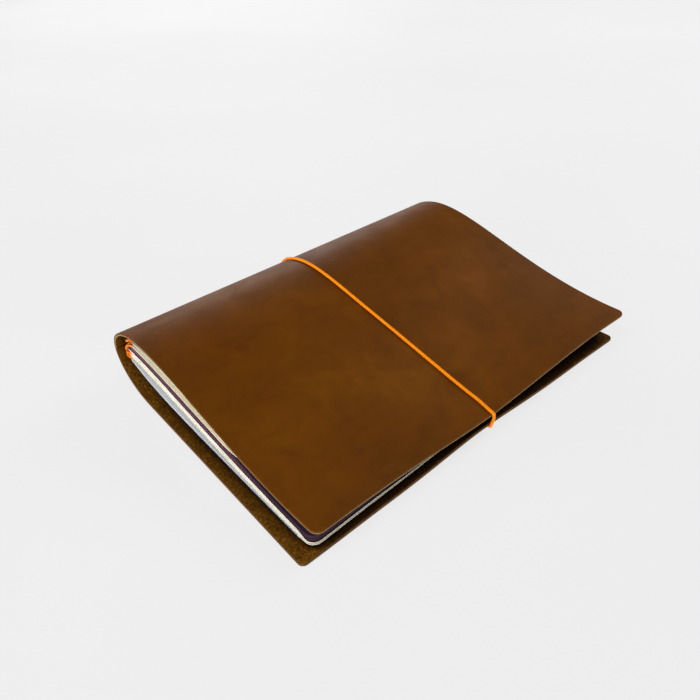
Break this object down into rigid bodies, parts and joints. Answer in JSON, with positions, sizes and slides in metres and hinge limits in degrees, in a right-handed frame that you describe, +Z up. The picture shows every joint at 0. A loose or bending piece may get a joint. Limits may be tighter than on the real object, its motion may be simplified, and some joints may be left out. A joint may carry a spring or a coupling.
{
  "type": "refillable leather notebook cover",
  "caption": "Soft one-piece leather notebook cover folded round booklets, held shut by an elastic loop, with booklet elastics laced through the spine.",
  "frame": {"origin": "middle of the underside, on the surface that the closed cover lies on", "axes": "+X from the spine to the fore-edge, +Y along the spine from tail to head, +Z up through the front cover"},
  "size_m": [0.1678, 0.2278, 0.0411],
  "materials": {
    "leather": "smooth waxed vegetable-tanned grain outside, suede inside",
    "closure_cord": "round braided elastic",
    "holder_cord": "round braided elastic",
    "folder_card": "uncoated card",
    "plum_card": "uncoated card",
    "plum_paper": "coloured paper edges",
    "cream_card": "uncoated card",
    "cream_paper": "uncoated paper",
    "slate_card": "uncoated card",
    "white_paper": "uncoated paper",
    "wire": "galvanised stitching wire"
  },
  "bodies": {
    "back": {"back_cover": "leather", "closure_elastic": "closure_cord"},
    "spine": {"spine": "leather", "closure_knot": "closure_cord", "tail_stitches": "holder_cord", "head_stitches": "holder_cord", "stitch_knot": "holder_cord"},
    "front": {"front_cover": "leather"},
    "booklets": {"folder_back_leaf": "folder_card", "folder_elastic": "holder_cord", "plum_cover": "plum_card", "plum_pages": "plum_paper", "plum_staples": "wire", "plum_elastic": "holder_cord", "cream_cover": "cream_card", "cream_pages": "cream_paper", "cream_staples": "wire", "cream_elastic": "holder_cord", "white_cover": "slate_card", "white_pages": "white_paper", "white_staples": "wire", "white_elastic": "holder_cord"},
    "folder_leaf": {"folder_front_leaf": "folder_card"}
  },
  "joints": [
    {"name": "spine_fold", "type": "hinge", "parent": "back", "child": "spine", "pos_m": [-0.07675, 0, 0.00883], "axis": [0, -1, 0], "range_deg": [0, 110], "deforming": ["closure_elastic"]},
    {"name": "cover_fold", "type": "hinge", "parent": "spine", "child": "front", "pos_m": [-0.06613, 0, 0.0367], "axis": [0, -1, 0], "range_deg": [0, 82.5]},
    {"name": "booklet_slip", "type": "slide", "parent": "back", "child": "booklets", "axis": [-1, 0, 0], "range_m": [0, 0.018]},
    {"name": "leaf_fold", "type": "hinge", "parent": "booklets", "child": "folder_leaf", "pos_m": [-0.0677, 0, 0.0312], "axis": [0.0234, -0.9997, 0], "range_deg": [0, 188]}
  ],
  "couplings": [
    {"joint": "cover_fold", "follows": "spine_fold", "ratio": 0.75},
    {"joint": "booklet_slip", "follows": "spine_fold", "m_per_rad": 0.009375},
    {"joint": "leaf_fold", "follows": "spine_fold", "ratio": 1.7}
  ]
}
